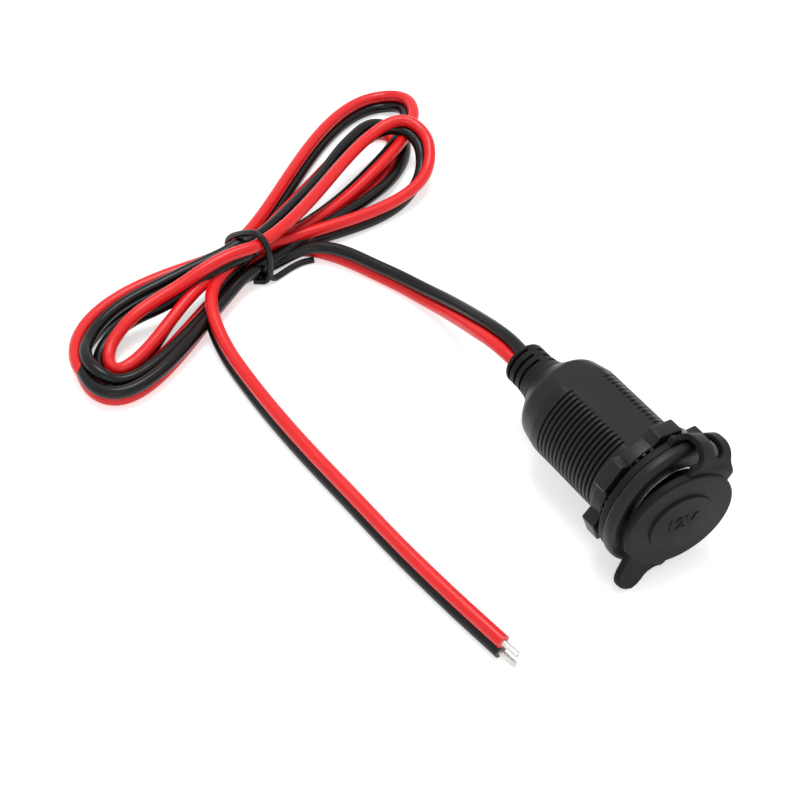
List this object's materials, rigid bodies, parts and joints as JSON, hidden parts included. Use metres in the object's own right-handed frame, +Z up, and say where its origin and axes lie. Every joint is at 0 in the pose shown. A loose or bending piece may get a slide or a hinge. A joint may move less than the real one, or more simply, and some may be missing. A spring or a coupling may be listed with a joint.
{
  "type": "panel-mount car 12v power socket with lead",
  "caption": "Round panel-mount car 12 V power socket with a threaded barrel, lock nut, tethered rubber dust cap and a red and black twin lead tied in a hank.",
  "frame": {"origin": "on the socket's axis at the rear face of the flange, the centre of the panel's hole", "axes": "+X along the socket's axis out of its mouth, +Z up as it lies on its side, +Y across"},
  "size_m": [0.2096, 0.153, 0.0402],
  "materials": {
    "housing_plastic": "satin",
    "cap_rubber": "matte",
    "nickel": "satin",
    "brass": "satin",
    "insulator": "matte",
    "tinned_copper": "satin",
    "red_pvc": "gloss",
    "black_pvc": "gloss"
  },
  "bodies": {
    "socket": {"housing": "housing_plastic", "sleeve_contact": "nickel", "insulator": "insulator", "positive_rivet": "brass", "positive_tag": "brass", "negative_tag": "brass", "negative_rivet": "brass", "contact_spring": "nickel", "red_inner_core": "red_pvc", "black_inner_core": "black_pvc", "red_inner_strand": "tinned_copper", "black_inner_strand": "tinned_copper", "strain_relief": "cap_rubber", "tether_ring": "cap_rubber", "tether_strap": "cap_rubber", "cord_lead": "red_pvc", "cord_hank": "black_pvc", "cord_tail": "red_pvc", "red_conductor_tip": "tinned_copper", "black_conductor_tip": "tinned_copper", "twist_tie": "black_pvc"},
    "nut": {"lock_nut": "housing_plastic"},
    "cap": {"dust_cap": "cap_rubber"},
    "contact": {"centre_contact": "brass"}
  },
  "joints": [
    {"name": "cap_hinge", "type": "hinge", "parent": "socket", "child": "cap", "pos_m": [0.002, 0.01, 0.01732], "axis": [0, -0.866, 0.5], "range_deg": [0, 125], "deforming": ["tether_strap"]},
    {"name": "nut_slide", "type": "slide", "parent": "socket", "child": "nut", "axis": [1, 0, 0], "range_m": [-0.02, 0.001]},
    {"name": "contact_press", "type": "slide", "parent": "socket", "child": "contact", "axis": [-1, 0, 0], "range_m": [0, 0.0012], "stiffness_N_per_m": 150, "deforming": ["contact_spring"]}
  ]
}
